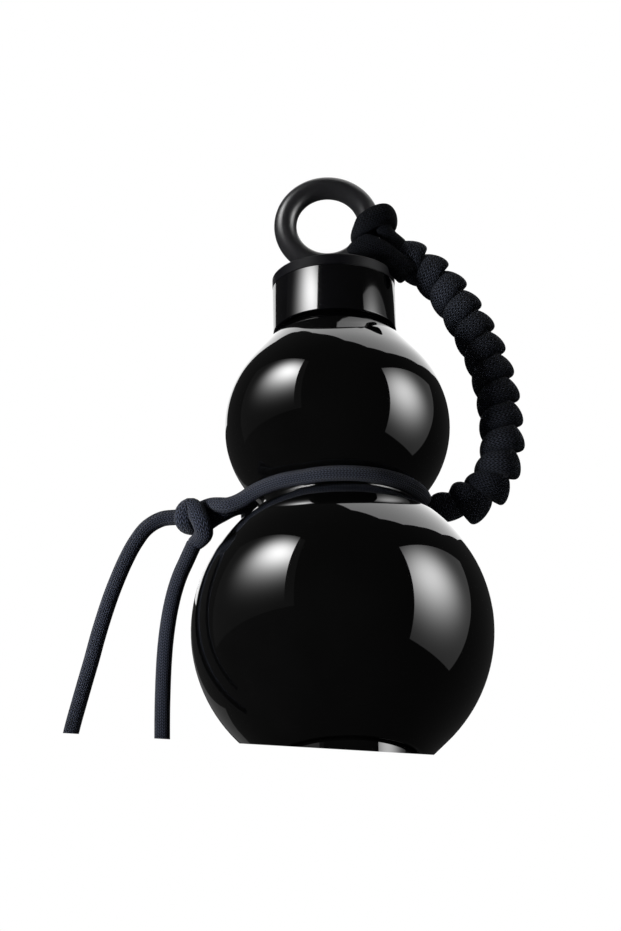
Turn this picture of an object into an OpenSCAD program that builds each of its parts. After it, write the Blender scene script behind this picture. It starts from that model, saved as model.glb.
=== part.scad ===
// Gourd water bottle with a screw cap, a carrying ring and a wound cord handle.
// Millimetres, +Z up, origin on the floor under the bottle's axis, handle towards +X.

/* [Body] */
// Largest radius of the lower bulb.
lower_bulb_radius = 56; // [45:0.5:70]
// Height above the floor at which the lower bulb's full round would end.
lower_bulb_height = 1.4; // [0.4:0.1:6]
// Largest radius of the upper bulb.
upper_bulb_radius = 42.4; // [34:0.2:54]
// Height of the upper bulb's centre above the lower bulb's centre.
upper_bulb_height = 81.8; // [72:0.2:92]
// Radius of the arc that draws the upper bulb.
upper_bulb_arc = 38.6; // [34:0.2:46]
// Radius of the groove between the bulbs.
waist_fillet = 4; // [3:0.5:10]
// Radius at which the rolled edge of the base is centred.
base_edge_radius = 28.2; // [24:0.2:36]
// Radius of the rolled edge itself.
base_edge_roll = 1.7; // [1:0.1:3]
// Thickness of the outer and inner steel walls.
steel_wall = 0.8; // [0.5:0.1:1.5]
// Distance between the outer and inner walls.
wall_gap = 2.4; // [1.5:0.1:5]

/* [Neck] */
// Angle above the upper bulb's middle at which its straight shoulder begins.
shoulder_angle = 40; // [38:0.5:46]
// Height of the shoulder's top above the upper bulb's centre.
shoulder_top = 37.8; // [36:0.1:40]
// Radius of the neck between its thread ridges.
neck_radius = 19.2; // [16:0.1:23]
// Height of the cap's top plate above the mouth.
mouth_height = 4.4; // [3.8:0.1:7]
// Rise of the thread in one turn.
thread_lead = 8; // [4:0.5:12]
// How far a thread ridge stands out.
thread_depth = 1; // [0.6:0.1:1.6]

/* [Cap] */
// Outer radius of the cap.
cap_radius = 23.3; // [20:0.1:30]
// Height of the cap's lower edge above the shoulder's top.
cap_bottom = 1; // [0.4:0.1:3]
// Height of the glossy sleeve.
sleeve_height = 18.4; // [12:0.2:26]
// Thickness of the top plate.
plate_height = 4.3; // [2:0.1:8]
// Depth of the stopper below the mouth.
stopper_depth = 8.8; // [5:0.1:14]

/* [Ring] */
// Radius of the carrying ring, at the middle of its rod.
ring_radius = 16.1; // [12:0.1:22]
// Radius of the ring's rod.
ring_rod = 4.3; // [2.5:0.1:6]
// Gap between the top plate and the ring's lowest point.
ring_lift = 1.8; // [0.5:0.1:4]
// Distance of the ring from the axis, towards the knot.
ring_shift = 1.8; // [0:0.1:3]

/* [Base] */
// Clearance between the cover under the bottle and the rolled edge round it.
cover_gap = 0.3; // [0.1:0.1:1]
// Radius of the foot pad.
foot_radius = 24.5; // [18:0.1:28]
// Thickness of the foot pad.
foot_height = 1.4; // [0.8:0.1:3]

/* [Cord] */
// Diameter of the cord.
cord = 5.8; // [4:0.1:8]
// Turns of the winding on the handle.
handle_turns = 14; // [8:1:20]
// Outer radius of the wound handle.
handle_radius = 8.2; // [6:0.1:11]
// Share of the winding's pitch that the strand fills.
strand_fill = 0.86; // [0.6:0.01:0.9]
// Turns of the hitch on the ring.
hitch_turns = 2.2; // [1.5:0.1:3]

/* [Hidden] */
$fn = 96;
// Clearance between the cord and what it goes round.
cord_gap = 0.3;
// Clearance between pieces that slip into each other.
slip = 0.1;
// Steps of one thread turn, and of one winding turn.
thread_steps = 24;
loop_steps = 24;
loop_sides = 6;
cord_sides = 8;

// Centres of the arcs that draw the body, as radius and height.
lower_centre = [0, lower_bulb_radius + lower_bulb_height];
upper_centre = [upper_bulb_radius - upper_bulb_arc, lower_centre[1] + upper_bulb_height];

// Point at two given distances from two centres, on the side away from the axis.
function meet(a, b, ra, rb) =
    let (d = norm(b - a), u = (b - a) / d)
    let (s = (ra * ra - rb * rb + d * d) / (2 * d), h = sqrt(ra * ra - s * s))
    a + u * s + [u[1], -u[0]] * h;

waist_centre = meet(lower_centre, upper_centre,
                    lower_bulb_radius + waist_fillet, upper_bulb_arc + waist_fillet);
waist_radius = waist_centre[0] - waist_fillet;
waist_height = waist_centre[1];

// Radius of the straight shoulder at a height, drawn in by d.
function shoulder_radius(z, d) =
    upper_centre[0]
    + (upper_bulb_arc - d - (z - upper_centre[1]) * sin(shoulder_angle)) / cos(shoulder_angle);

// The base cone touches the lower bulb at 45 degrees.
cone_angle = 45;
cone_offset = lower_bulb_radius / sin(cone_angle) - lower_centre[1];
base_edge_height = base_edge_radius - cone_offset + base_edge_roll / sin(cone_angle);

liner_offset = steel_wall + wall_gap;
liner_inner = liner_offset + steel_wall;
bottom_height = base_edge_height + base_edge_roll + slip;
cover_radius = base_edge_radius - base_edge_roll - cover_gap;
floor_gap = 3.1;
liner_floor = bottom_height + steel_wall + floor_gap;
mouth_radius = neck_radius - liner_inner;
getter_radius = 6;
getter_height = 1.6;

// Heights of the neck and the cap, each from the one below it.
neck_bottom = upper_centre[1] + shoulder_top;
sleeve_bottom = neck_bottom + cap_bottom;
plate_bottom = sleeve_bottom + sleeve_height;
plate_top = plate_bottom + plate_height;
mouth = plate_bottom - mouth_height;
gasket_height = 1;
gasket_bottom = mouth + slip / 2;
crown_bottom = gasket_bottom + gasket_height;
boss_height = 2;
crown_top = plate_bottom - boss_height - slip / 2;
skirt_bottom = neck_bottom + 2;
sleeve_wall = 0.8;
sleeve_lip = 0.7;
lip_height = 0.9;
core_radius = cap_radius - sleeve_wall - slip;
thread_start = 4.5;
thread_end = 2.5;
thread_bottom = neck_bottom + thread_start;
thread_turns = (mouth - thread_end - thread_bottom) / thread_lead;
core_thread_turns = thread_turns - 0.25;
thread_root = neck_radius + 1.5 * thread_depth;
stopper_gap = 0.7;
stopper_radius = mouth_radius - stopper_gap;
stopper_wall = 1.2;
stopper_bottom = mouth - stopper_depth;

ring_height = plate_top + ring_lift + ring_rod + ring_radius;
seat_top = plate_top + ring_lift + ring_rod;
seat_radius = 11;
seat_wall = 1;
screw_radius = 1.9;

// Route of the handle's middle line, as distance from the axis and height.
handle_route = [
    [20.6, 212.7], [30.2, 206.8], [39.3, 198.6], [46.8, 187.6], [53, 175.4],
    [57.6, 162.8], [60.3, 150], [60.8, 137], [58.7, 124.6], [53, 114.2],
    [44.4, 108.3], [34.9, 107.5]];
// Routes of the two tails, from the knot down to just above the floor.
long_route = [
    [-60.2, -6, 102.2], [-66.2, -5.6, 101.7], [-71.8, -5.1, 98.5], [-76.1, -4.6, 92.9],
    [-79.5, -4.1, 86.6], [-82.6, -3.5, 79.6], [-85.5, -2.9, 72.1], [-88.1, -2.3, 64.3],
    [-90.4, -1.5, 56.8], [-92.6, -1, 48.6], [-94.9, -0.6, 40.6], [-97.2, -0.3, 32.4],
    [-99.4, 0, 24.4], [-101.3, 0.2, 16.4], [-102.9, 0.3, 8.8], [-103.9, 0.4, 1.6]];
short_route = [
    [-54.2, -5.3, 91.5], [-57, -4.8, 85.4], [-59.6, -4.4, 79.6],
    [-61.6, -4, 73.6], [-63.2, -3.6, 67], [-64.4, -3.2, 60.2], [-65.3, -2.8, 53.2],
    [-65.9, -2.4, 46.2], [-66.3, -2, 39.2], [-66.6, -1.6, 32], [-66.8, -1.2, 24.8],
    [-66.9, -0.8, 17.2], [-66.9, -0.4, 9.4], [-66.9, -0.2, 1.6]];
// Ends of the waist loop, where they run into the knot in front and behind.
loop_front_end = [[-46.6, -12.3, 104.4], [-43, -13.6, 106], [-38.6, -15.8, 107.3]];
loop_back_end = [[-38.4, 8, 107.5], [-42.4, 4.6, 107], [-45.6, 2, 106.4]];
knot_centre = [-51.6, -5.2, 101.8];
knot_scale = 2.4;
knot_hole = 2.3;
knot_depth = 1.45;
knot_cord = 4.4;

strand_thick = 5.6;
winding_radius = handle_radius - strand_thick / 2;
handle_core_radius = handle_radius - strand_thick - cord_gap;
hitch_thick = 3.8;
hitch_radius = ring_rod + cord_gap + hitch_thick / 2;
hitch_high_angle = 16;
hitch_low_angle = -46;
hitch_inner_width = 3.8;
hitch_outer_width = 6.6;
loop_radius = waist_radius + cord_gap + slip + cord / 2;

// A point on the smooth curve through a list of points, at t counted in points.
function curve(p, t) =
    let (i = min(floor(t), len(p) - 2), u = t - i)
    let (b = p[i], c = p[i + 1])
    let (a = i > 0 ? p[i - 1] : 2 * b - c, d = i + 2 < len(p) ? p[i + 2] : 2 * c - b)
    0.5 * (2 * b + (c - a) * u + (2 * a - 5 * b + 4 * c - d) * u * u
           + (3 * b - a - 3 * c + d) * u * u * u);

function unit(v) = v / norm(v);
function along(p, i) = unit(p[min(i + 1, len(p) - 1)] - p[max(i - 1, 0)]);
function across(v, t) = unit(v - t * (v * t));

// Shortest distance between turns of a tube, less its width there.
function least_gap(p, w, apart) =
    min([for (i = [0 : len(p) - 1], j = [i + apart : 1 : len(p) - 1])
         norm(p[i] - p[j]) - (w[i] + w[j]) / 2]);

// A tube along points p; u points out at each one, thick lies along u and wide across it.
module tube(p, u, thick, wide, sides) {
    n = len(p);
    rings = [for (i = [0 : n - 1])
        let (t = along(p, i), a = across(u[i], t), b = cross(t, a))
        for (k = [0 : sides - 1])
        p[i] + a * cos(k * 360 / sides) * thick / 2 + b * sin(k * 360 / sides) * wide[i] / 2];
    skin = [for (i = [0 : n - 2], k = [0 : sides - 1])
        let (a = i * sides + k, b = i * sides + (k + 1) % sides)
        each [[a, a + sides, b], [b, a + sides, b + sides]]];
    first = [for (k = [1 : sides - 2]) [0, k, k + 1]];
    last = [for (k = [1 : sides - 2])
        let (a = (n - 1) * sides)
        [a, a + k + 1, a + k]];
    polyhedron(points = rings, faces = concat(skin, first, last), convexity = 8);
}

module round_cord(p, out, size) {
    tube(p, [for (q = p) out], size, [for (q = p) size], cord_sides);
}

// Half section of the bottle, drawn in by d, with a flat floor.
module body_area(d, floor) {
    lower = lower_bulb_radius - d;
    upper = upper_bulb_arc - d;
    touch = lower_centre + lower * [sin(cone_angle), -cos(cone_angle)];
    intersection() {
        translate([0, floor])
            square([lower_bulb_radius + 1, mouth]);
        union() {
            translate(lower_centre)
                circle(lower);
            translate(upper_centre)
                circle(upper);
            polygon([[0, touch[1]], touch, touch - [touch[1], touch[1]], [0, 0]]);
            difference() {
                polygon([lower_centre, waist_centre, upper_centre, [0, upper_centre[1]]]);
                translate(waist_centre)
                    circle(waist_fillet + d);
            }
            polygon([[0, upper_centre[1]],
                     upper_centre + upper * [cos(shoulder_angle), sin(shoulder_angle)],
                     [shoulder_radius(neck_bottom - d, d), neck_bottom - d],
                     [0, neck_bottom - d]]);
            translate([0, upper_centre[1]])
                square([neck_radius - d, mouth - upper_centre[1]]);
            translate([0, upper_centre[1] - upper])
                square([upper_centre[0], 2 * upper]);
        }
    }
}

module band(r0, r1, z0, z1) {
    rotate_extrude()
        translate([r0, z0])
            square([r1 - r0, z1 - z0]);
}

// One thread ridge round the axis, from angle a0 over some turns, leaning into its wall.
module ridge(root, crest, foot, a0, turns, z0) {
    n = round(turns * thread_steps);
    pts = [for (i = [0 : n])
        let (a = i * 360 / thread_steps, z = z0 + thread_lead * a / 360)
        let (f = min(1, 0.25 + i / 3, 0.25 + (n - i) / 3), tip = root + (crest - root) * f)
        for (q = [[foot, -1], [foot, 1], [tip, 0.5], [tip, -0.5]])
        [q[0] * cos(a + a0), q[0] * sin(a + a0), z + q[1] * thread_depth]];
    flip = crest < root;
    side = [for (i = [0 : n - 1], k = [0 : 3])
        let (a = i * 4 + k, b = i * 4 + (k + 1) % 4)
        each [[a, a + 4, b], [b, a + 4, b + 4]]];
    ends = [[0, 1, 2], [0, 2, 3], [n * 4, n * 4 + 2, n * 4 + 1], [n * 4, n * 4 + 3, n * 4 + 2]];
    faces = concat(side, ends);
    polyhedron(points = pts, faces = [for (f = faces) flip ? [f[2], f[1], f[0]] : f], convexity = 6);
}

module outer_shell() {
    color([0.02, 0.02, 0.022]) {
        rotate_extrude() {
            difference() {
                body_area(0, base_edge_height);
                body_area(steel_wall, 0);
                translate([0, mouth - 1])
                    square([neck_radius - steel_wall, 2]);
            }
            translate([base_edge_radius, base_edge_height])
                circle(base_edge_roll);
        }
        for (k = [0, 1])
            ridge(neck_radius, neck_radius + thread_depth, neck_radius - steel_wall / 2,
                  180 * k, thread_turns, thread_bottom);
    }
}

module inner_liner() {
    color([0.62, 0.62, 0.64])
        rotate_extrude()
            difference() {
                union() {
                    body_area(liner_offset, liner_floor);
                    translate([0, mouth - steel_wall])
                        square([neck_radius - steel_wall, steel_wall]);
                }
                body_area(liner_inner, liner_floor + steel_wall);
                translate([0, mouth - 2 * steel_wall])
                    square([mouth_radius, 4 * steel_wall]);
            }
}

module outer_bottom() {
    color([0.55, 0.55, 0.57])
        rotate_extrude()
            difference() {
                body_area(steel_wall, bottom_height);
                translate([0, bottom_height + steel_wall])
                    square([lower_bulb_radius, mouth]);
            }
}

module getter() {
    color([0.35, 0.35, 0.36])
        translate([0, 0, bottom_height + steel_wall])
            cylinder(r = getter_radius, h = getter_height);
}

module base_cover() {
    wall = 1.2;
    recess = 0.8;
    bottom = foot_height - recess;
    color([0.03, 0.03, 0.03])
        difference() {
            translate([0, 0, bottom])
                cylinder(r = cover_radius, h = bottom_height - bottom);
            translate([0, 0, foot_height + wall])
                cylinder(r = cover_radius - wall, h = bottom_height);
            translate([0, 0, bottom - 1])
                cylinder(r = foot_radius + slip, h = foot_height - bottom + 1);
        }
}

module foot_pad() {
    color([0.06, 0.06, 0.06])
        cylinder(r = foot_radius, h = foot_height);
}

module cap_sleeve() {
    inner = cap_radius - sleeve_wall;
    color([0.02, 0.02, 0.022]) {
        band(inner, cap_radius, sleeve_bottom, plate_bottom);
        band(inner - sleeve_lip, inner, sleeve_bottom, sleeve_bottom + lip_height);
    }
}

module cap_plate() {
    edge = 0.5;
    boss_bottom = plate_bottom - boss_height;
    color([0.05, 0.05, 0.05])
        difference() {
            rotate_extrude()
                polygon([[0, boss_bottom], [core_radius, boss_bottom],
                         [core_radius, plate_bottom], [cap_radius, plate_bottom],
                         [cap_radius, plate_top - edge], [cap_radius - edge, plate_top],
                         [0, plate_top]]);
            translate([-ring_shift, 0, boss_bottom - 1])
                cylinder(r = screw_radius + slip, h = plate_top - boss_bottom + 2);
            translate([-ring_shift, 0, boss_bottom - 1])
                cylinder(r = 2 * screw_radius + slip, h = boss_height + 1.6);
        }
}

module cap_core() {
    color([0.08, 0.08, 0.085]) {
        difference() {
            translate([0, 0, skirt_bottom])
                cylinder(r = core_radius, h = crown_top - skirt_bottom);
            translate([0, 0, skirt_bottom - 1])
                cylinder(r = thread_root, h = crown_bottom - skirt_bottom + 1);
        }
        band(stopper_radius - stopper_wall, stopper_radius, stopper_bottom + stopper_wall,
             crown_bottom + 0.1);
        for (k = [0, 1])
            ridge(thread_root, thread_root - thread_depth, thread_root + 0.4,
                  180 * k, core_thread_turns, thread_bottom - 1.5 * thread_depth);
    }
}

module stopper_foam() {
    color([0.8, 0.8, 0.78])
        translate([0, 0, stopper_bottom + 2 * stopper_wall + slip])
            cylinder(r = stopper_radius - stopper_wall - slip,
                     h = crown_bottom - stopper_bottom - 2 * stopper_wall - 2 * slip);
}

module stopper_cover() {
    color([0.62, 0.62, 0.64]) {
        translate([0, 0, stopper_bottom])
            cylinder(r = stopper_radius, h = stopper_wall);
        translate([0, 0, stopper_bottom + stopper_wall / 2])
            cylinder(r = stopper_radius - stopper_wall - slip / 2, h = 1.5 * stopper_wall);
    }
}

module mouth_gasket() {
    color([0.75, 0.75, 0.73])
        band(stopper_radius + slip, neck_radius, gasket_bottom, crown_bottom);
}

module ring_shape(extra) {
    translate([-ring_shift, 0, ring_height])
        rotate([90, 0, 0])
            rotate_extrude()
                translate([ring_radius, 0])
                    circle(ring_rod + extra);
}

module carry_ring() {
    color([0.03, 0.03, 0.032])
        difference() {
            ring_shape(0);
            translate([-ring_shift, 0, plate_top])
                cylinder(r = screw_radius, h = ring_lift + ring_rod + 0.8);
        }
}

module ring_seat() {
    color([0.05, 0.05, 0.05])
        difference() {
            translate([-ring_shift, 0, plate_top])
                intersection() {
                    cylinder(r = seat_radius, h = seat_top - plate_top);
                    translate([-seat_radius, -ring_rod - seat_wall, 0])
                        cube([2 * seat_radius, 2 * (ring_rod + seat_wall), seat_top - plate_top]);
                }
            ring_shape(slip / 2);
            translate([-ring_shift, 0, plate_top - 1])
                cylinder(r = screw_radius + slip, h = seat_top - plate_top + 2);
        }
}

module ring_screw() {
    color([0.6, 0.6, 0.62])
        translate([-ring_shift, 0, plate_bottom - 1.8])
            difference() {
                union() {
                    cylinder(r = 2 * screw_radius - slip, h = 1.4);
                    cylinder(r = screw_radius - slip, h = seat_top + 0.5 - plate_bottom + 1.8);
                }
                translate([0, 0, -1])
                    cylinder(r = screw_radius / sqrt(2), h = 1.8, $fn = 6);
            }
}

// Winding round the handle: one tube whose middle follows the handle's route.
handle_last = len(handle_route) - 1;
winding_count = handle_turns * loop_steps;
function handle_at(t) =
    let (q = curve(handle_route, t))
    [q[0], 0, q[1]];
function handle_dir(t) = unit(handle_at(min(t + 0.01, handle_last)) - handle_at(max(t - 0.01, 0)));
// Length along the handle at each tenth of a point, and the way back from length to point.
handle_steps = 10 * handle_last;
handle_lengths = [for (i = 0, s = 0; i <= handle_steps; i = i + 1,
                       s = s + norm(handle_at(i / 10) - handle_at((i - 1) / 10))) s];
handle_table = [for (i = [0 : handle_steps]) [handle_lengths[i], i / 10]];
handle_length = handle_lengths[handle_steps];
winding_start = 4.8;
winding_end = handle_length - 7.5;
function winding_t(i) =
    lookup(winding_start + (winding_end - winding_start) * i / winding_count, handle_table);
function winding_out(i) =
    let (d = handle_dir(winding_t(i)), s = [0, 1, 0], a = 90 + i * 360 / loop_steps)
    cos(a) * s + sin(a) * cross(d, s);
winding_outs = [for (i = [0 : winding_count]) winding_out(i)];
winding_turns = [for (i = [0 : winding_count])
    handle_at(winding_t(i)) + winding_radius * winding_outs[i]];
// Each end runs straight on for one strand.
function run_on(p, far, n) = p + unit(p - far) * n;
winding_points = concat(
    [run_on(winding_turns[0], winding_turns[1], strand_thick)],
    winding_turns,
    [run_on(winding_turns[winding_count], winding_turns[winding_count - 1], strand_thick)]);
winding_sides = concat([winding_outs[0]], winding_outs, [winding_outs[winding_count]]);
// A strand is as wide as the room between its neighbours, narrower inside the bend.
winding_width = [for (i = [0 : winding_count])
    let (j = i + loop_steps > winding_count ? i - loop_steps : i)
    strand_fill * norm(winding_turns[j + loop_steps] - winding_turns[j])];
echo(handle_length = handle_length, widest = max(winding_width), narrowest = min(winding_width));
echo(winding_gap = least_gap(winding_turns, winding_width, loop_steps / 2));

module handle_winding() {
    color([0.035, 0.035, 0.04])
        tube(winding_points, winding_sides, strand_thick,
             concat([winding_width[0]], winding_width, [winding_width[winding_count]]), loop_sides);
}

module handle_core() {
    n = 22;
    points = [for (i = [0 : n]) handle_at(handle_last * i / n)];
    color([0.035, 0.035, 0.04])
        round_cord(points, [0, 1, 0], 2 * handle_core_radius);
}

// Hitch: one tube round the ring's rod, wider on the ring's outer side.
hitch_count = round(hitch_turns * loop_steps);
function hitch_angle(i) = hitch_high_angle + (hitch_low_angle - hitch_high_angle) * i / hitch_count;
function hitch_out(i) =
    let (a = hitch_angle(i), b = 90 - i * 360 / loop_steps)
    cos(b) * [cos(a), 0, sin(a)] + [0, -sin(b), 0];
function hitch_at(i) =
    let (a = hitch_angle(i))
    [-ring_shift + ring_radius * cos(a), 0, ring_height + ring_radius * sin(a)]
    + hitch_radius * hitch_out(i);
hitch_turn_points = [for (i = [0 : hitch_count]) hitch_at(i)];
hitch_width = [for (i = [0 : hitch_count])
    let (c = (1 + cos(90 - i * 360 / loop_steps)) / 2)
    hitch_inner_width + (hitch_outer_width - hitch_inner_width) * c];
echo(hitch_gap = least_gap(hitch_turn_points, hitch_width, loop_steps / 2));

module ring_hitch() {
    last = hitch_count;
    points = concat([run_on(hitch_turn_points[0], hitch_turn_points[1], hitch_thick)],
                    hitch_turn_points,
                    [run_on(hitch_turn_points[last], hitch_turn_points[last - 1], hitch_thick)]);
    outs = concat([hitch_out(0)], [for (i = [0 : last]) hitch_out(i)], [hitch_out(last)]);
    widths = concat([hitch_width[0]], hitch_width, [hitch_width[last]]);
    color([0.035, 0.035, 0.04])
        tube(points, outs, hitch_thick, widths, loop_sides);
}

// Waist loop: round the groove by the front, both ends out to the knot.
loop_from = 214;
loop_to = 514;
module waist_loop() {
    n = 34;
    arc = [for (i = [0 : n])
        let (a = loop_from + (loop_to - loop_from) * i / n)
        [loop_radius * cos(a), loop_radius * sin(a), waist_height]];
    color([0.035, 0.035, 0.04])
        round_cord(concat(loop_front_end, arc, loop_back_end), [0, 0, 1], cord);
}

// Knot: an overhand knot, opened where its ends lead away.
knot_open = 14;
knot_count = 48;
function knot_at(t) =
    let (r = knot_hole + cos(3 * t), flat = [r * cos(2 * t), knot_depth * sin(3 * t), r * sin(2 * t)])
    knot_centre + knot_scale * flat;
knot_points = [for (i = [0 : knot_count])
    knot_at(knot_open + (360 - 2 * knot_open) * i / knot_count)];
echo(knot_gap = least_gap(knot_points, [for (p = knot_points) knot_cord], 8));

module tail_knot() {
    color([0.035, 0.035, 0.04])
        tube(knot_points, [for (p = knot_points) unit(p - knot_centre)], knot_cord,
             [for (p = knot_points) knot_cord], cord_sides);
}

module tail(route) {
    n = 2 * (len(route) - 1);
    color([0.035, 0.035, 0.04])
        round_cord([for (i = [0 : n]) curve(route, i / 2)], [0, 1, 0], cord);
}

module long_tail() {
    tail(long_route);
}

module short_tail() {
    tail(short_route);
}

outer_shell();
inner_liner();
outer_bottom();
getter();
base_cover();
foot_pad();
cap_sleeve();
cap_plate();
cap_core();
stopper_foam();
stopper_cover();
mouth_gasket();
carry_ring();
ring_seat();
ring_screw();
ring_hitch();
handle_core();
handle_winding();
waist_loop();
tail_knot();
long_tail();
short_tail();
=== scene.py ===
"""Looks of a gourd water bottle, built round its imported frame.

Metres, +Z up, origin on the floor under the bottle's axis, handle towards +X.
Lists of points and sizes are in millimetres and go through MM.
"""

import math

import bpy
import numpy as np
from mathutils import Matrix, Vector


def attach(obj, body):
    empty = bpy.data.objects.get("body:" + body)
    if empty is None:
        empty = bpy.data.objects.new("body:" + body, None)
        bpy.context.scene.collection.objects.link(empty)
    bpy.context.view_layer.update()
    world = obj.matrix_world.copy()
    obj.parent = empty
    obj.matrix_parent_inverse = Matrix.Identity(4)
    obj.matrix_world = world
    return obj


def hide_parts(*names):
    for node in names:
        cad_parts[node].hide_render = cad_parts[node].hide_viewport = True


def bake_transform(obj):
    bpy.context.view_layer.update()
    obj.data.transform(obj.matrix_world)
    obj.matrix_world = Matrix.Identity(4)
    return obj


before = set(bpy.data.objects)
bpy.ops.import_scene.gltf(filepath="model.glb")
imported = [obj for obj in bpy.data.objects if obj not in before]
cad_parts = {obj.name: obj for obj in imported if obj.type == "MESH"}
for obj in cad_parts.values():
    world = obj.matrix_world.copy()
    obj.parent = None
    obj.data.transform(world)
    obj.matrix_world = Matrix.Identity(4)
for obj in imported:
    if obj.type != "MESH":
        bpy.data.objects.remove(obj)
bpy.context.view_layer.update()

MM = 0.001

# Body, as in the part's source.
LOWER_RADIUS = 56.0
LOWER_CENTRE = (0.0, 57.4)
UPPER_ARC = 38.6
UPPER_CENTRE = (3.8, 139.2)
WAIST_FILLET = 4.0
CONE_ANGLE = 45.0
BASE_EDGE = (28.2, 8.8)
BASE_ROLL = 1.7
STEEL = 0.8
# Slope at which the straight shoulder leaves the upper bulb, in degrees above the bulb's middle.
SHOULDER_ANGLE = 40.0
COLLAR_TOP = 177.0
NECK_RADIUS = 19.2
MOUTH_HEIGHT = 192.0
THREAD_LEAD = 8.0
THREAD_DEPTH = 1.0
THREAD_BOTTOM = 181.5

# Cap and ring.
CAP_RADIUS = 23.3
CAP_BOTTOM = 178.0
PLATE_BOTTOM = 196.4
SLEEVE_WALL = 0.8
RING_CENTRE = (-1.8, 0.0, 222.9)
RING_RADIUS = 16.1
RING_ROD = 4.3

# Cord.
CORD = 5.8
WAIST_RADIUS = 31.8
WAIST_HEIGHT = 107.6
CORD_SIDES = 28
CORD_STEP = 0.9

# Routes of the cords. The tails' are the part's own; the handle's lower end lies up to 3 mm
# further out than in the part's source, as in the photograph.
HANDLE_ROUTE = [
    (20.6, 0, 212.7), (30.2, 0, 206.8), (39.3, 0, 198.6), (46.8, 0, 187.6), (53, 0, 175.4),
    (57.6, 0, 162.8), (60.3, 0, 150), (61.3, 0, 137), (60.6, 0, 124.8), (55.6, 0, 113.8),
    (46.9, 0, 107.6), (35.4, 0, 108.2)]
LONG_ROUTE = [
    (-60.2, -6, 102.2), (-66.2, -5.6, 101.7), (-71.8, -5.1, 98.5), (-76.1, -4.6, 92.9),
    (-79.5, -4.1, 86.6), (-82.6, -3.5, 79.6), (-85.5, -2.9, 72.1), (-88.1, -2.3, 64.3),
    (-90.4, -1.5, 56.8), (-92.6, -1, 48.6), (-94.9, -0.6, 40.6), (-97.2, -0.3, 32.4),
    (-99.4, 0, 24.4), (-101.3, 0.2, 16.4), (-102.9, 0.3, 8.8), (-103.9, 0.4, 1.6)]
SHORT_ROUTE = [
    (-54.2, -5.3, 91.5), (-57, -4.8, 85.4), (-59.6, -4.4, 79.6),
    (-61.6, -4, 73.6), (-63.2, -3.6, 67), (-64.4, -3.2, 60.2), (-65.3, -2.8, 53.2),
    (-65.9, -2.4, 46.2), (-66.3, -2, 39.2), (-66.6, -1.6, 32), (-66.8, -1.2, 24.8),
    (-66.9, -0.8, 17.2), (-66.9, -0.4, 9.4), (-66.9, -0.2, 1.6)]


# Camera

CAMERA_PLACE = (0.0, -1529.0, -505.7)
CAMERA_YAW = -0.39
CAMERA_PITCH = 22.384
CAMERA_ROLL = -1.342
CAMERA_LENS = 170.7


def make_camera():
    yaw, pitch, roll = (math.radians(a) for a in (CAMERA_YAW, CAMERA_PITCH, CAMERA_ROLL))
    ahead = Vector((math.sin(yaw) * math.cos(pitch), math.cos(yaw) * math.cos(pitch), math.sin(pitch)))
    right = Vector((math.cos(yaw), -math.sin(yaw), 0))
    up = right.cross(ahead)
    turned_right = math.cos(roll) * right + math.sin(roll) * up
    turned_up = math.cos(roll) * up - math.sin(roll) * right
    data = bpy.data.cameras.new("camera")
    data.lens = CAMERA_LENS
    data.sensor_width = 36
    data.clip_start = 0.05
    data.clip_end = 20
    camera = bpy.data.objects.new("camera", data)
    bpy.context.scene.collection.objects.link(camera)
    camera.matrix_world = Matrix.Translation(Vector(CAMERA_PLACE) * MM) @ Matrix(
        (turned_right, turned_up, -ahead)).transposed().to_4x4()
    bpy.context.scene.camera = camera


# Material helpers

def new_material(name, **sockets):
    """A material with a Principled shader whose plain values are given by socket name."""
    material = bpy.data.materials.new(name)
    material.use_nodes = True
    shader = material.node_tree.nodes["Principled BSDF"]
    for socket, value in sockets.items():
        shader.inputs[socket.replace("_", " ")].default_value = value
    return material, material.node_tree, shader


def grey(value, tint=1.0):
    return (value, value, value * tint, 1)


def node(tree, kind, **settings):
    made = tree.nodes.new(kind)
    for name, value in settings.items():
        setattr(made, name, value)
    return made


def maths(tree, operation, first, second=None):
    """A Math node; first and second are sockets or numbers. Returns its output."""
    made = node(tree, "ShaderNodeMath", operation=operation)
    for socket, value in zip(made.inputs, (first, second)):
        if value is None:
            continue
        if isinstance(value, bpy.types.NodeSocket):
            tree.links.new(value, socket)
        else:
            socket.default_value = value
    return made.outputs[0]


def new_group(name, inputs, outputs):
    """A node group; inputs and outputs are lists of (name, socket type, default)."""
    group = bpy.data.node_groups.new(name, "ShaderNodeTree")
    for label, kind, default in inputs:
        socket = group.interface.new_socket(label, in_out="INPUT", socket_type=kind)
        if default is not None:
            socket.default_value = default
    for label, kind in outputs:
        group.interface.new_socket(label, in_out="OUTPUT", socket_type=kind)
    return group, group.nodes.new("NodeGroupInput").outputs, group.nodes.new("NodeGroupOutput").inputs


def place_group(tree, group, **values):
    made = node(tree, "ShaderNodeGroup", node_tree=group)
    for name, value in values.items():
        made.inputs[name.replace("_", " ")].default_value = value
    return made


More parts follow.
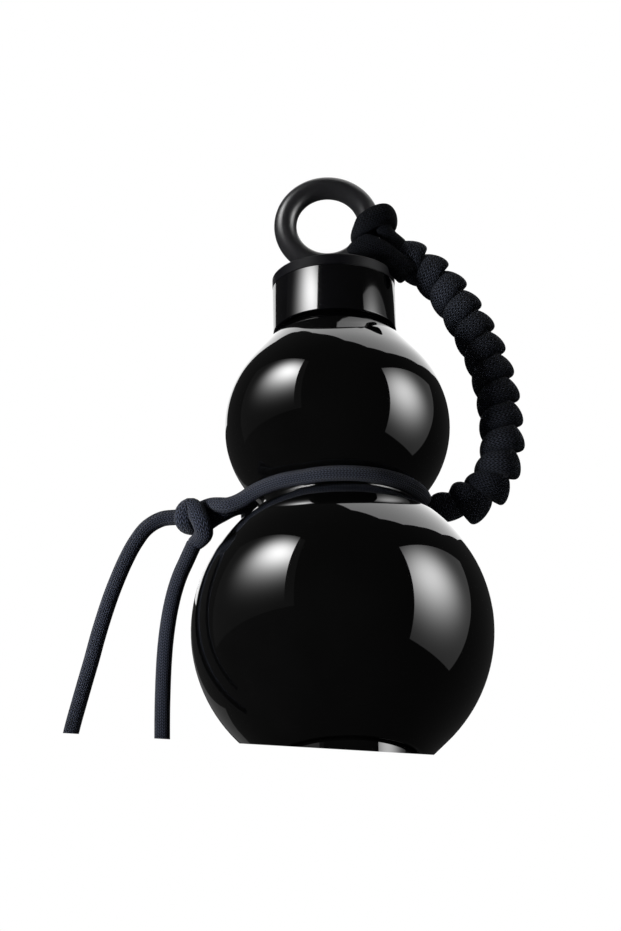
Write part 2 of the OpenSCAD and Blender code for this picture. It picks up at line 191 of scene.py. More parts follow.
def speckle_group():
    """Fine noise of a surface: Value wanders round 0.5, Height is for a bump."""
    group, given, out = new_group(
        "speckle",
        [("Vector", "NodeSocketVector", None), ("Size", "NodeSocketFloat", 0.002), ("Detail", "NodeSocketFloat", 4.0)],
        [("Value", "NodeSocketFloat"), ("Height", "NodeSocketFloat")])
    noise = node(group, "ShaderNodeTexNoise")
    group.links.new(given["Vector"], noise.inputs["Vector"])
    group.links.new(maths(group, "DIVIDE", 1.0, given["Size"]), noise.inputs["Scale"])
    group.links.new(given["Detail"], noise.inputs["Detail"])
    group.links.new(noise.outputs["Fac"], out["Value"])
    fine = node(group, "ShaderNodeTexNoise")
    group.links.new(given["Vector"], fine.inputs["Vector"])
    group.links.new(maths(group, "DIVIDE", 4.0, given["Size"]), fine.inputs["Scale"])
    group.links.new(maths(group, "ADD", noise.outputs["Fac"], maths(group, "MULTIPLY", fine.outputs["Fac"], 0.4)),
                    out["Height"])
    return group


def braid_group():
    """Sheath of a braided cord: columns of small chevrons, from a UV map that goes once round."""
    group, given, out = new_group(
        "braid",
        [("Vector", "NodeSocketVector", None), ("Columns", "NodeSocketFloat", 12.0),
         ("Rows", "NodeSocketFloat", 12.0), ("Slant", "NodeSocketFloat", 0.8)],
        [("Height", "NodeSocketFloat"), ("Fibre", "NodeSocketFloat")])
    split = node(group, "ShaderNodeSeparateXYZ")
    group.links.new(given["Vector"], split.inputs[0])
    column = maths(group, "FRACT", maths(group, "MULTIPLY", split.outputs["X"], given["Columns"]))
    from_middle = maths(group, "ABSOLUTE", maths(group, "SUBTRACT", column, 0.5))
    lean = maths(group, "MULTIPLY", from_middle, maths(group, "MULTIPLY", given["Slant"], 2.0))
    row = maths(group, "ADD", maths(group, "MULTIPLY", split.outputs["Y"], given["Rows"]), lean)
    stitch = maths(group, "ABSOLUTE", maths(group, "SINE", maths(group, "MULTIPLY", row, math.pi)))
    yarn = maths(group, "ABSOLUTE", maths(group, "SINE", maths(group, "MULTIPLY", column, 2 * math.pi)))
    body = maths(group, "ADD", 0.45, maths(group, "MULTIPLY", yarn, 0.55))
    group.links.new(maths(group, "MULTIPLY", stitch, body), out["Height"])
    noise = node(group, "ShaderNodeTexNoise")
    stretch = node(group, "ShaderNodeVectorMath", operation="MULTIPLY")
    stretch.inputs[1].default_value = (90, 60, 1)
    group.links.new(given["Vector"], stretch.inputs[0])
    group.links.new(stretch.outputs[0], noise.inputs["Vector"])
    noise.inputs["Scale"].default_value = 1.0
    group.links.new(noise.outputs["Fac"], out["Fibre"])
    return group


# Darkest and lightest colour of the cord's yarns, hanging free, wound on the handle and hitched.
# The darkest is painted shade between the yarns, and the lightest is painted light on their crowns.
# The three are lit and shaded copies of one cord. The hitched one is darker, as painted shade where
# less light reaches, and the wound one's tone is matched to the light on the handle.
FREE_YARN = ((0.002, 0.0023, 0.0034, 1), (0.118, 0.139, 0.212, 1))
WOUND_YARN_TONED_FOR_LIGHT = ((0.0015, 0.0018, 0.0024, 1), (0.12, 0.137, 0.186, 1))
HITCH_YARN_PAINTED_SHADE = ((0.001, 0.0012, 0.0016, 1), (0.034, 0.039, 0.053, 1))

SPECKLE = speckle_group()
BRAID = braid_group()


def object_speckle(tree, size, detail=4.0):
    coordinates = node(tree, "ShaderNodeTexCoord")
    speckle = place_group(tree, SPECKLE, Size=size, Detail=detail)
    tree.links.new(coordinates.outputs["Object"], speckle.inputs["Vector"])
    return speckle


def ramp(tree, value, low, high, position_low=0.3, position_high=0.7):
    """A two-colour ramp fed by value; low and high are colours."""
    made = node(tree, "ShaderNodeValToRGB")
    made.color_ramp.elements[0].position = position_low
    made.color_ramp.elements[1].position = position_high
    made.color_ramp.elements[0].color = low
    made.color_ramp.elements[1].color = high
    tree.links.new(value, made.inputs["Fac"])
    return made.outputs["Color"]


def bump(tree, shader, height, distance, strength=1.0):
    made = node(tree, "ShaderNodeBump")
    made.inputs["Distance"].default_value = distance
    made.inputs["Strength"].default_value = strength
    tree.links.new(height, made.inputs["Height"])
    tree.links.new(made.outputs["Normal"], shader.inputs["Normal"])


def surface(name, low, high, size, rough, bump_height=0.0, detail=4.0, **sockets):
    """A material whose colour and roughness wander between two values, with a fine bump."""
    material, tree, shader = new_material(name, **sockets)
    speckle = object_speckle(tree, size, detail)
    tree.links.new(ramp(tree, speckle.outputs["Value"], low, high), shader.inputs["Base Color"])
    spread = node(tree, "ShaderNodeMapRange")
    spread.inputs["To Min"].default_value = rough[0]
    spread.inputs["To Max"].default_value = rough[1]
    tree.links.new(speckle.outputs["Value"], spread.inputs["Value"])
    tree.links.new(spread.outputs["Result"], shader.inputs["Roughness"])
    if bump_height:
        bump(tree, shader, speckle.outputs["Height"], bump_height)
    return material


def gloss_paint():
    """High-gloss black paint: a faint unevenness in the gloss, sharp reflections."""
    return surface("gloss_paint", grey(0.0010), grey(0.0022), 0.03, (0.02, 0.05),
                   Coat_Weight=1.0, Coat_Roughness=0.015, Specular_IOR_Level=0.5)


SLEEVE_LEAN = (-0.07, 0, 0.17)


def sleeve_lacquer():
    """The sleeve's gloss, which leans back and aside a little and so mirrors what stands higher."""
    material = surface("sleeve_lacquer", grey(0.0015, 1.3), grey(0.003, 1.3), 0.012, (0.04, 0.09),
                       Specular_IOR_Level=1.0)
    tree = material.node_tree
    upright = node(tree, "ShaderNodeNewGeometry")
    lean = node(tree, "ShaderNodeVectorMath", operation="ADD")
    lean.inputs[1].default_value = SLEEVE_LEAN
    tree.links.new(upright.outputs["Normal"], lean.inputs[0])
    even = node(tree, "ShaderNodeVectorMath", operation="NORMALIZE")
    tree.links.new(lean.outputs[0], even.inputs[0])
    tree.links.new(even.outputs[0], tree.nodes["Principled BSDF"].inputs["Normal"])
    return material


def satin_coat():
    return surface("satin_coat", grey(0.014, 1.1), grey(0.020, 1.1), 0.0012, (0.3, 0.38), 0.000012,
                   Specular_IOR_Level=1.0)


def matte_coat():
    return surface("matte_coat", grey(0.003, 1.3), grey(0.005, 1.3), 0.0009, (0.42, 0.54), 0.00002,
                   Specular_IOR_Level=0.15)


def moulded_plastic():
    return surface("moulded_plastic", grey(0.02), grey(0.03), 0.0008, (0.45, 0.6), 0.00002)


def drawn_steel(name, low, high, rough):
    return surface(name, grey(low), grey(high), 0.004, rough, 0.000008, Metallic=1.0)


def rubber(name, low, high):
    return surface(name, grey(low), grey(high), 0.0007, (0.7, 0.85), 0.00004)


def white_foam():
    return surface("white_foam", grey(0.7, 0.96), grey(0.82, 0.96), 0.0008, (0.85, 0.95), 0.0001)


def cord_cloth(name, yarn, sheen):
    """Charcoal braided sheath, with painted shade between its yarns and painted light on their crowns, and a soft
    sheen.
    """
    material, tree, shader = new_material(
        name, Roughness=0.8, Sheen_Weight=sheen, Sheen_Roughness=0.5, Specular_IOR_Level=2.5 * sheen)
    uv = node(tree, "ShaderNodeUVMap", uv_map="cord")
    braid = place_group(tree, BRAID, Columns=12.0, Rows=9.0, Slant=1.0)
    tree.links.new(uv.outputs["UV"], braid.inputs["Vector"])
    # Painted shade and light: the braid's height darkens the gaps between yarns and lightens their crowns.
    shade = maths(tree, "ADD", maths(tree, "MULTIPLY", braid.outputs["Height"], 0.8),
                  maths(tree, "MULTIPLY", maths(tree, "SUBTRACT", braid.outputs["Fibre"], 0.5), 0.5))
    tree.links.new(ramp(tree, shade, *yarn, 0.3, 0.95), shader.inputs["Base Color"])
    lift = maths(tree, "ADD", braid.outputs["Height"], maths(tree, "MULTIPLY", braid.outputs["Fibre"], 0.35))
    bump(tree, shader, lift, 0.0005)
    return material


# Mesh helpers

def finish(name, material, body, *nodes_replaced, slot=None, smooth=30):
    """Names the active object, gives it its material, and puts it on its body."""
    piece = bpy.context.object
    piece.name = piece.data.name = name
    bpy.ops.object.transform_apply(location=True, rotation=True, scale=True)
    bpy.ops.object.shade_smooth_by_angle(angle=math.radians(smooth))
    piece.data.materials.clear()
    piece.data.materials.append(material)
    if nodes_replaced:
        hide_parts(*nodes_replaced)
    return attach(piece, body) if body else piece


def arc(centre, radius, start, end, step=3.0):
    """Points of an arc as (radius, height), both ends in it; angles in degrees."""
    count = max(1, math.ceil(abs(end - start) / step))
    angles = [math.radians(start + (end - start) * i / count) for i in range(count + 1)]
    return [(centre[0] + radius * math.cos(a), centre[1] + radius * math.sin(a)) for a in angles]


def rounded(corners, radius, step=15.0):
    """A closed outline whose corners are rounded off."""
    outline = []
    for i, corner in enumerate(corners):
        here = Vector(corner)
        back = (Vector(corners[i - 1]) - here).normalized()
        on = (Vector(corners[(i + 1) % len(corners)]) - here).normalized()
        half = back.angle(on) / 2
        reach = radius / math.tan(half)
        middle = here + (back + on).normalized() * radius / math.sin(half)
        first, last = here + back * reach - middle, here + on * reach - middle
        count = max(1, math.ceil(math.degrees(first.angle(last)) / step))
        for k in range(count + 1):
            outline.append(tuple(middle + radius * first.slerp(last, k / count)))
    return outline


def spun(outline, steps=192):
    """Traces a closed outline of (radius, height) with one vertex and spins it round the axis."""
    bpy.ops.object.select_all(action="DESELECT")
    start = Vector((outline[0][0], 0, outline[0][1])) * MM
    bpy.ops.mesh.primitive_plane_add(size=MM, location=start)
    bpy.ops.object.mode_set(mode="EDIT")
    bpy.ops.mesh.select_all(action="SELECT")
    bpy.ops.mesh.merge(type="CENTER")
    here = start
    for radius, height in outline[1:] + outline[:1]:
        there = Vector((radius, 0, height)) * MM
        bpy.ops.mesh.extrude_vertices_move(TRANSFORM_OT_translate={"value": there - here})
        here = there
    bpy.ops.mesh.select_all(action="SELECT")
    bpy.ops.mesh.remove_doubles(threshold=0.001 * MM)
    bpy.ops.mesh.spin(steps=steps, angle=2 * math.pi, center=(0, 0, 0), axis=(0, 0, 1), use_auto_merge=True)
    bpy.ops.mesh.select_all(action="SELECT")
    bpy.ops.mesh.remove_doubles(threshold=0.001 * MM)
    bpy.ops.mesh.normals_make_consistent(inside=False)
    bpy.ops.object.mode_set(mode="OBJECT")
    bpy.ops.object.transform_apply(location=True, rotation=True, scale=True)
    return bpy.context.object


def join(first, *others):
    bpy.ops.object.select_all(action="DESELECT")
    for piece in (first, *others):
        piece.select_set(True)
    bpy.context.view_layer.objects.active = first
    bpy.ops.object.join()
    return first


# Bottle

def meet(a, b, radius_a, radius_b):
    """The point at two distances from two centres, on the outer side."""
    a, b = Vector(a), Vector(b)
    gap = (b - a).length
    along = (b - a) / gap
    reach = (radius_a ** 2 - radius_b ** 2 + gap ** 2) / (2 * gap)
    height = math.sqrt(radius_a ** 2 - reach ** 2)
    return a + along * reach + Vector((along.y, -along.x)) * height


WAIST_CENTRE = meet(LOWER_CENTRE, UPPER_CENTRE, LOWER_RADIUS + WAIST_FILLET, UPPER_ARC + WAIST_FILLET)


def shoulder_radius(height, inset):
    """Radius of the straight shoulder that runs from the upper bulb up to the cap."""
    slope = math.radians(SHOULDER_ANGLE)
    above = (height - UPPER_CENTRE[1]) * math.sin(slope)
    return UPPER_CENTRE[0] + (UPPER_ARC - inset - above) / math.cos(slope)


def direction(a, b):
    return math.degrees(math.atan2(b[1] - a[1], b[0] - a[0]))


def body_wall(inset):
    """Outline of both bulbs, the shoulder and the neck from the base cone up, drawn in by inset."""
    to_waist = direction(LOWER_CENTRE, WAIST_CENTRE)
    from_waist = direction(UPPER_CENTRE, WAIST_CENTRE)
    wall = arc(LOWER_CENTRE, LOWER_RADIUS - inset, -CONE_ANGLE, to_waist)
    wall += arc(WAIST_CENTRE, WAIST_FILLET + inset, to_waist + 180, from_waist + 180, 8)[1:-1]
    wall += arc(UPPER_CENTRE, UPPER_ARC - inset, from_waist, SHOULDER_ANGLE)
    edge = 0.35
    edge_height = COLLAR_TOP - inset - edge
    wall += arc((shoulder_radius(edge_height, inset + edge), edge_height), edge, SHOULDER_ANGLE, 90, 30)
    wall += [(NECK_RADIUS - inset, COLLAR_TOP - inset), (NECK_RADIUS - inset, MOUTH_HEIGHT)]
    return wall


def thread_ridge(turn_start, turns):
    """One ridge of the neck's thread: a small quad screwed round the axis and closed at its ends."""
    bpy.ops.object.select_all(action="DESELECT")
    bpy.ops.mesh.primitive_plane_add(size=1)
    ridge = bpy.context.object
    root, crest = NECK_RADIUS - STEEL / 2, NECK_RADIUS + THREAD_DEPTH
    turn = math.radians(turn_start)
    corners = [(root, -1), (crest, -0.5), (crest, 0.5), (root, 1)]
    for index, (radius, height) in zip((0, 1, 3, 2), corners):
        ridge.data.vertices[index].co = Vector((
            radius * math.cos(turn), radius * math.sin(turn), THREAD_BOTTOM + height * THREAD_DEPTH)) * MM
    screw = ridge.modifiers.new("screw", "SCREW")
    screw.angle = 2 * math.pi * turns
    screw.screw_offset = THREAD_LEAD * turns * MM
    screw.steps = screw.render_steps = round(72 * turns)
    screw.use_merge_vertices = False
    bpy.ops.object.modifier_apply(modifier="screw")
    bpy.ops.object.mode_set(mode="EDIT")
    bpy.ops.mesh.select_all(action="SELECT")
    bpy.ops.mesh.remove_doubles(threshold=0.0001 * MM)
    bpy.ops.mesh.select_all(action="DESELECT")
    bpy.ops.mesh.select_non_manifold()
    bpy.ops.mesh.edge_face_add()
    bpy.ops.mesh.select_all(action="SELECT")
    bpy.ops.mesh.normals_make_consistent(inside=False)
    bpy.ops.object.mode_set(mode="OBJECT")
    return ridge


def make_shell(paint):
    roll = arc(BASE_EDGE, BASE_ROLL, 135, 315, 15)
    inner = body_wall(STEEL)[::-1]
    cone_foot = (BASE_EDGE[0] - 0.2, BASE_EDGE[1] + BASE_ROLL)
    shell = spun(roll + body_wall(0) + inner + [cone_foot], 224)
    join(shell, *[thread_ridge(180 * k, 1.0) for k in (0, 1)])
    finish("bottle_shell", paint, "bottle", "outer_shell", slot="gloss_black")


def make_sleeve(paint):
    inner = CAP_RADIUS - SLEEVE_WALL
    lip = 0.9
    outline = rounded([
        (inner - 0.7, CAP_BOTTOM), (CAP_RADIUS, CAP_BOTTOM), (CAP_RADIUS, PLATE_BOTTOM - 0.05),
        (inner, PLATE_BOTTOM - 0.05), (inner, CAP_BOTTOM + lip), (inner - 0.7, CAP_BOTTOM + lip)], 0.28)
    spun(outline)
    finish("cap_sleeve_shell", paint, "cap", "cap_sleeve", slot="gloss_black")


def make_ring(coat):
    bpy.ops.object.select_all(action="DESELECT")
    bpy.ops.mesh.primitive_torus_add(
        major_segments=160, minor_segments=56, major_radius=RING_RADIUS * MM, minor_radius=RING_ROD * MM,
        location=Vector(RING_CENTRE) * MM, rotation=(math.pi / 2, 0, 0))
    finish("ring_rod", coat, "cap", "carry_ring", slot="satin_black")


# Cords

def smooth_path(points, step):
    """Catmull-Rom curve through points, as evenly spaced points about step apart."""
    p = np.array(points, float)
    p = np.vstack([2 * p[0] - p[1], p, 2 * p[-1] - p[-2]])
    t = np.linspace(0, 1, 40, endpoint=False)[:, None]
    bits = [0.5 * (2 * b + (c - a) * t + (2 * a - 5 * b + 4 * c - d) * t ** 2 + (3 * b - a - 3 * c + d) * t ** 3)
            for a, b, c, d in zip(p[:-3], p[1:-2], p[2:-1], p[3:])]
    dense = np.vstack(bits + [p[-2:-1]])
    length = np.concatenate([[0], np.cumsum(np.linalg.norm(np.diff(dense, axis=0), axis=1))])
    even = np.linspace(0, length[-1], max(2, round(length[-1] / step)) + 1)
    return np.stack([np.interp(even, length, dense[:, k]) for k in range(3)], 1)


def unit(vectors):
    return vectors / np.linalg.norm(vectors, axis=1)[:, None]


def carried_sides(tangent, first):
    """Side vectors carried along a path without twist."""
    sides = [np.array(first, float)]
    for t in tangent:
        side = sides[-1] - t * (sides[-1] @ t)
        sides.append(side / np.linalg.norm(side))
    return np.array(sides[1:])


# A strand that is wound flat shows this many times the yarns of a round one.
FLAT_YARNS = 1.6


def cord_mesh(name, tubes):
    """One mesh of swept tubes, each (path, side, thick, wide, tip_start, tip_end) in millimetres.

    side may be one vector, carried along, or one for each point; thick lies along it and wide across.
    """
    points, faces, uvs = [], [], []
    turn = np.linspace(0, 2 * np.pi, CORD_SIDES, endpoint=False)
    for path, side, thick, wide, tip_start, tip_end in tubes:
        count = len(path)
        tangent = unit(np.gradient(path, axis=0))
        side = np.array(side, float)
        out = carried_sides(tangent, side) if side.ndim == 1 else unit(
            side - tangent * (side * tangent).sum(1)[:, None])
        over = np.cross(tangent, out)
        thick = np.broadcast_to(np.asarray(thick, float), (count,)).copy()
        wide = np.broadcast_to(np.asarray(wide, float), (count,)).copy()
        length = np.concatenate([[0], np.cumsum(np.linalg.norm(np.diff(path, axis=0), axis=1))])
        shrink = np.ones(count)
        for tip, gone in ((tip_start, length), (tip_end, length[-1] - length)):
            if tip:
                shrink = np.minimum(shrink, np.sqrt(1 - (1 - np.clip(gone / tip, 0.02, 1)) ** 2))
        ring = (path[:, None]
                + out[:, None] * (np.cos(turn)[None, :, None] * (thick * shrink / 2)[:, None, None])
                + over[:, None] * (np.sin(turn)[None, :, None] * (wide * shrink / 2)[:, None, None]))
        yarns = FLAT_YARNS if wide.max() > 1.3 * CORD else 1
        base = len(points)
        points.extend(map(tuple, (ring.reshape(-1, 3) * MM).tolist()))
        for i in range(count - 1):
            for k in range(CORD_SIDES):
                a, b = base + i * CORD_SIDES + k, base + i * CORD_SIDES + (k + 1) % CORD_SIDES
                faces.append((a, b, b + CORD_SIDES, a + CORD_SIDES))
                u0, u1 = yarns * k / CORD_SIDES, yarns * (k + 1) / CORD_SIDES
                v0, v1 = length[i] / 10, length[i + 1] / 10
                uvs += [(u0, v0), (u1, v0), (u1, v1), (u0, v1)]
        first = tuple(range(base + CORD_SIDES - 1, base - 1, -1))
        last = tuple(range(base + (count - 1) * CORD_SIDES, base + count * CORD_SIDES))
        for cap, v in ((first, 0), (last, length[-1] / 10)):
            faces.append(cap)
            uvs += [(k / CORD_SIDES, v) for k in range(CORD_SIDES)]
    mesh = bpy.data.meshes.new(name)
    mesh.from_pydata(points, [], faces)
    layer = mesh.uv_layers.new(name="cord")
    layer.data.foreach_set("uv", np.array(uvs, np.float32).ravel())
    mesh.polygons.foreach_set("use_smooth", [True] * len(mesh.polygons))
    mesh.update()
    piece = bpy.data.objects.new(name, mesh)
    bpy.context.scene.collection.objects.link(piece)
    return piece


def dress_cord(piece, cloth, *nodes_replaced):
    piece.data.materials.append(cloth)
    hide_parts(*nodes_replaced)
    return piece


SEALED_TIP = 0.9
# A strand is pressed to this width where it is knotted.
KNOT_WIDE = 7.0
# So many points of its path lie between the round cord and the pressed one.
PRESSED_OVER = 6


def make_tails(cloth):
    for name, route, cad_node in (("left_tail", LONG_ROUTE, "long_tail"), ("right_tail", SHORT_ROUTE, "short_tail")):
        path = smooth_path(route, CORD_STEP)
        tail = cord_mesh(name, [(path, (0, 1, 0), CORD, CORD, 0, SEALED_TIP)])
        dress_cord(tail, cloth, cad_node)
        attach(tail, "strap")


# From the left tail the cord runs behind the knot's turns to the bottle's front.
KNOT_LEFT = [
    (-60.3, -6.0, 102.1), (-57.1, -5.7, 102.7), (-53.7, -5.6, 104.0), (-50.3, -6.6, 105.3),
    (-47.2, -9.4, 105.2), (-44.2, -12.2, 104.1), (-41.2, -14.2, 103.2), (-38.2, -15.6, 103.5),
    (-35.5, -17.0, 104.3)]
# From the bottle's back the cord bends up round the left tail, over the front and into the right tail.
KNOT_RIGHT = [
    (-33.0, 11.2, 107.4), (-32.8, 5.0, 107.8), (-33.6, -0.5, 107.8), (-35.9, -3.5, 106.8),
    (-38.4, -6.0, 105.4), (-41.0, -7.2, 103.8), (-43.6, -7.6, 102.2), (-46.3, -7.2, 100.9),
    (-49.2, -5.6, 99.6), (-52.2, -4.4, 98.8), (-54.9, -4.9, 98.4), (-57.0, -7.2, 98.4),
    (-58.0, -9.8, 99.9), (-57.4, -10.8, 102.5), (-55.5, -11.0, 104.2), (-53.5, -12.2, 102.7),
    (-52.2, -13.2, 99.4), (-50.9, -13.0, 96.2), (-50.3, -10.8, 94.1), (-51.6, -7.8, 92.8),
    (-54.2, -5.3, 91.5)]
LOOP_FRONT = (-35.5, -17.0, 104.3)
LOOP_BACK = (-33.0, 11.2, 107.4)


def nearest(path, point):
    return int(np.argmin(np.linalg.norm(path - np.array(point), axis=1)))


def make_loop_and_knot(cloth):
    """One cord from tail to tail: round the waist, and through the knot at both its ends."""
    around = [(WAIST_RADIUS * math.cos(math.radians(a)), WAIST_RADIUS * math.sin(math.radians(a)), WAIST_HEIGHT)
              for a in range(246, 498, 7)]
    leading = [(-30.6, -20.0, 106.2), (-25.3, -23.4, 107.2), (-19.8, -26.4, 107.6)]
    path = smooth_path(KNOT_LEFT + leading + around + KNOT_RIGHT, CORD_STEP)
    here = np.arange(len(path))
    first, last = nearest(path, LOOP_FRONT), nearest(path, LOOP_BACK)
    from_ends = np.minimum(here, here[-1] - here)
    from_loop = np.maximum(first - here, here - last)
    pressed = np.clip(np.minimum(from_ends, from_loop) / PRESSED_OVER, 0, 1)
    wide = CORD + (KNOT_WIDE - CORD) * pressed
    piece = cord_mesh("waist_cord", [(path, (0, 0, 1), CORD, wide, 0, 0)])
    dress_cord(piece, cloth, "waist_loop", "tail_knot")
    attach(piece, "strap")


WINDING_TURNS = 13.7
WINDING_START = 4.6
WINDING_END = 1.6
WINDING_RADIUS = 5.3
WINDING_END_RADIUS = 2.4
# The first turns, at the hitch, lie closer to the handle's middle.
WINDING_FIRST_RADIUS = 4.6
SLIM_TURNS = 4.5
# The first turn passes the handle's far side this share of a turn after the winding's start.
WINDING_LAG = 0.35
STRAND_THICK = 5.5
STRAND_FILL = 1.12
STRAND_TILT = 26.0
LOOP_STEPS = 44


def make_winding(cloth):
    """The cord wound round the handle: each turn lies on the one below it like a scale."""
    route = smooth_path(HANDLE_ROUTE, 0.25)
    length = np.concatenate([[0], np.cumsum(np.linalg.norm(np.diff(route, axis=0), axis=1))])
    ahead = unit(np.gradient(route, axis=0))
    count = round(WINDING_TURNS * LOOP_STEPS)
    turns = np.arange(-LOOP_STEPS // 4, count + 1) / LOOP_STEPS
    at = WINDING_START + (length[-1] - WINDING_END - WINDING_START) * turns / WINDING_TURNS
    middle = np.stack([np.interp(at, length, route[:, k]) for k in range(3)], 1)
    along = unit(np.stack([np.interp(at, length, ahead[:, k]) for k in range(3)], 1))
    side = np.array([0.0, 1.0, 0.0])
    outer = np.cross(along, side)
    angle = math.pi / 2 + 2 * math.pi * (turns - WINDING_LAG)
    out = np.cos(angle)[:, None] * side + np.sin(angle)[:, None] * outer
    drawn_in = np.clip(turns - WINDING_TURNS + 1, 0, 1) ** 2
    slimmed = 1 - np.clip(turns / SLIM_TURNS, 0, 1)
    radius = (WINDING_RADIUS + (WINDING_END_RADIUS - WINDING_RADIUS) * drawn_in
              + (WINDING_FIRST_RADIUS - WINDING_RADIUS) * slimmed)
    path = middle + radius[:, None] * out
    away = np.sin(angle) * (1 if (outer * [1, 0, 0]).sum() > 0 else -1)
    tilt = np.radians(STRAND_TILT) * (0.25 + 0.75 * (1 + away) / 2)
    facing = np.cos(tilt)[:, None] * out - np.sin(tilt)[:, None] * along
    apart = np.linalg.norm(path[LOOP_STEPS:] - path[:-LOOP_STEPS], axis=1)
    wide = STRAND_FILL * np.concatenate([apart, apart[-LOOP_STEPS:]])
    winding = cord_mesh("wound_handle", [(path, facing, STRAND_THICK, np.clip(wide, 6.2, 11.5), 3.0, 2.6)])
    dress_cord(winding, cloth, "handle_winding", "handle_core")
    winding.visible_glossy = False
    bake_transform(winding)


# The hitch: a wrap over the ring's right leg, a second one below it that leads to the handle,
# and the strand that links the first to the handle outside the leg.
HITCH_THICK = 3.8
UPPER_WIDE = 8.4
LOWER_WIDE = 9.4
LINK_WIDE = 8.6
UPPER_WRAP = [
    (18.8, 6.4, 224.6), (22.2, 4.4, 225.1), (23.2, 0.0, 225.4), (21.9, -4.6, 225.1), (19.4, -7.2, 224.1),
    (15.9, -8.0, 222.4), (12.6, -7.4, 220.6), (10.0, -5.0, 219.4), (9.2, -0.6, 219.3), (10.2, 4.2, 220.3),
    (13.3, 6.6, 221.3)]
LOWER_WRAP = [
    (15.6, 6.6, 217.2), (11.6, 5.4, 216.2), (9.2, 1.5, 214.6), (9.0, -3.4, 213.2), (10.8, -7.0, 211.7),
    (13.8, -8.6, 210.0), (17.2, -9.1, 207.9), (20.6, -9.2, 205.3), (23.7, -8.9, 202.4), (26.3, -7.4, 200.2),
    (28.2, -4.5, 199.4)]
LINK_STRAND = [
    (19.4, 1.0, 226.0), (19.6, -2.0, 222.4), (20.0, -3.4, 218.8), (22.6, -3.4, 215.0), (26.6, -1.8, 211.4)]


def make_hitch(cloth):
    tubes = []
    for route, thick, wide in ((UPPER_WRAP, HITCH_THICK, UPPER_WIDE), (LOWER_WRAP, HITCH_THICK, LOWER_WIDE),
                               (LINK_STRAND, CORD, LINK_WIDE)):
        path = smooth_path(route, CORD_STEP)
        ring_middle = np.array(RING_CENTRE)
        spoke = path - ring_middle
        spoke[:, 1] = 0
        rod = ring_middle + RING_RADIUS * unit(spoke)
        tubes.append((path, unit(path - rod), thick, wide, 1.5, 1.5))
    hitch = cord_mesh("hitch_cord", tubes)
    dress_cord(hitch, cloth, "ring_hitch")
    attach(hitch, "cap")


# Studio

def stage_object(obj, name, material):
    obj.name = name
    obj.data.materials.append(material)
    return obj


def white_for_camera(tree, shader_output, share=1.0):
    """Mixes a share of plain white in for camera, glossy and transmission rays."""
    rays = node(tree, "ShaderNodeLightPath")
    seen = maths(tree, "MAXIMUM", rays.outputs["Is Camera Ray"],
                 maths(tree, "MAXIMUM", rays.outputs["Is Glossy Ray"], rays.outputs["Is Transmission Ray"]))
    white = node(tree, "ShaderNodeEmission")
    white.inputs["Strength"].default_value = 1.0
    mix = node(tree, "ShaderNodeMixShader")
    tree.links.new(maths(tree, "MULTIPLY", seen, share), mix.inputs["Fac"])
    tree.links.new(shader_output, mix.inputs[1])
    tree.links.new(white.outputs[0], mix.inputs[2])
    return mix.outputs[0]


# The table's front edge passes these two points, so it hides the base's rim and the tails' ends.
TABLE_EDGE = ((-100.9, -60.7), (31.5, -25.8))
TABLE_HALF_WIDTH = 900.0
TABLE_DEPTH = 1100.0
TABLE_THICK = 12.0


def table_material(name, share):
    """White board; its top keeps the bottle's shadow, its edge melts into the background."""
    material, tree, shader = new_material(name, Base_Color=grey(0.8), Roughness=0.6)
    out = tree.nodes["Material Output"]
    tree.links.new(white_for_camera(tree, shader.outputs[0], share), out.inputs["Surface"])
    return material


def make_table():
    a, b = (Vector((x, y, 0)) * MM for x, y in TABLE_EDGE)
    along = (b - a).normalized()
    back = Vector((-along.y, along.x, 0))
    foot = a + along * (-a).dot(along)
    half, depth = TABLE_HALF_WIDTH * MM, TABLE_DEPTH * MM
    bpy.ops.object.select_all(action="DESELECT")
    bpy.ops.mesh.primitive_plane_add(size=1)
    table = bpy.context.object
    for index, (s, t) in enumerate(((-half, 0), (half, 0), (-half, depth), (half, depth))):
        table.data.vertices[index].co = foot + along * s + back * t
    bpy.ops.object.mode_set(mode="EDIT")
    bpy.ops.mesh.select_all(action="SELECT")
    bpy.ops.mesh.extrude_region_move(TRANSFORM_OT_translate={"value": (0, 0, -TABLE_THICK * MM)})
    bpy.ops.mesh.select_all(action="SELECT")
    bpy.ops.mesh.normals_make_consistent(inside=False)
    bpy.ops.object.mode_set(mode="OBJECT")
    stage_object(table, "table", table_material("table_top", 0.55))
    table.data.materials.append(table_material("table_edge", 1.0))
    for face in table.data.polygons:
        face.material_index = 0 if face.normal.z > 0.5 else 1
    table.visible_glossy = False


AMBIENT = 0.02


def plain_emission(name, strength, sampled=True):
    """A glowing surface. One that isn't sampled is found by reflected rays only, with less grain."""
    material = bpy.data.materials.new(name)
    material.use_nodes = True
    tree = material.node_tree
    tree.nodes.clear()
    glow = node(tree, "ShaderNodeEmission")
    glow.inputs["Strength"].default_value = strength
    out = node(tree, "ShaderNodeOutputMaterial")
    tree.links.new(glow.outputs[0], out.inputs["Surface"])
    material.cycles.emission_sampling = "AUTO" if sampled else "NONE"
    return material, tree, glow


def softbox_glow(name, peak, spread, floor_glow):
    """A diffuser's glow: brightest at the object's origin and falling off across and up."""
    material, tree, glow = plain_emission(name, peak, sampled=False)
    place = node(tree, "ShaderNodeTexCoord")
    scale = node(tree, "ShaderNodeVectorMath", operation="MULTIPLY")
    scale.inputs[1].default_value = (1 / (spread[0] * MM), 1 / (spread[1] * MM), 0)
    tree.links.new(place.outputs["Object"], scale.inputs[0])
    square = node(tree, "ShaderNodeVectorMath", operation="DOT_PRODUCT")
    tree.links.new(scale.outputs[0], square.inputs[0])
    tree.links.new(scale.outputs[0], square.inputs[1])
    fall = maths(tree, "EXPONENT", maths(tree, "MULTIPLY", square.outputs["Value"], -0.5))
    tree.links.new(maths(tree, "ADD", maths(tree, "MULTIPLY", fall, peak), floor_glow), glow.inputs["Strength"])
    return material


def hide_from_camera(obj):
    obj.visible_camera = False
    return obj


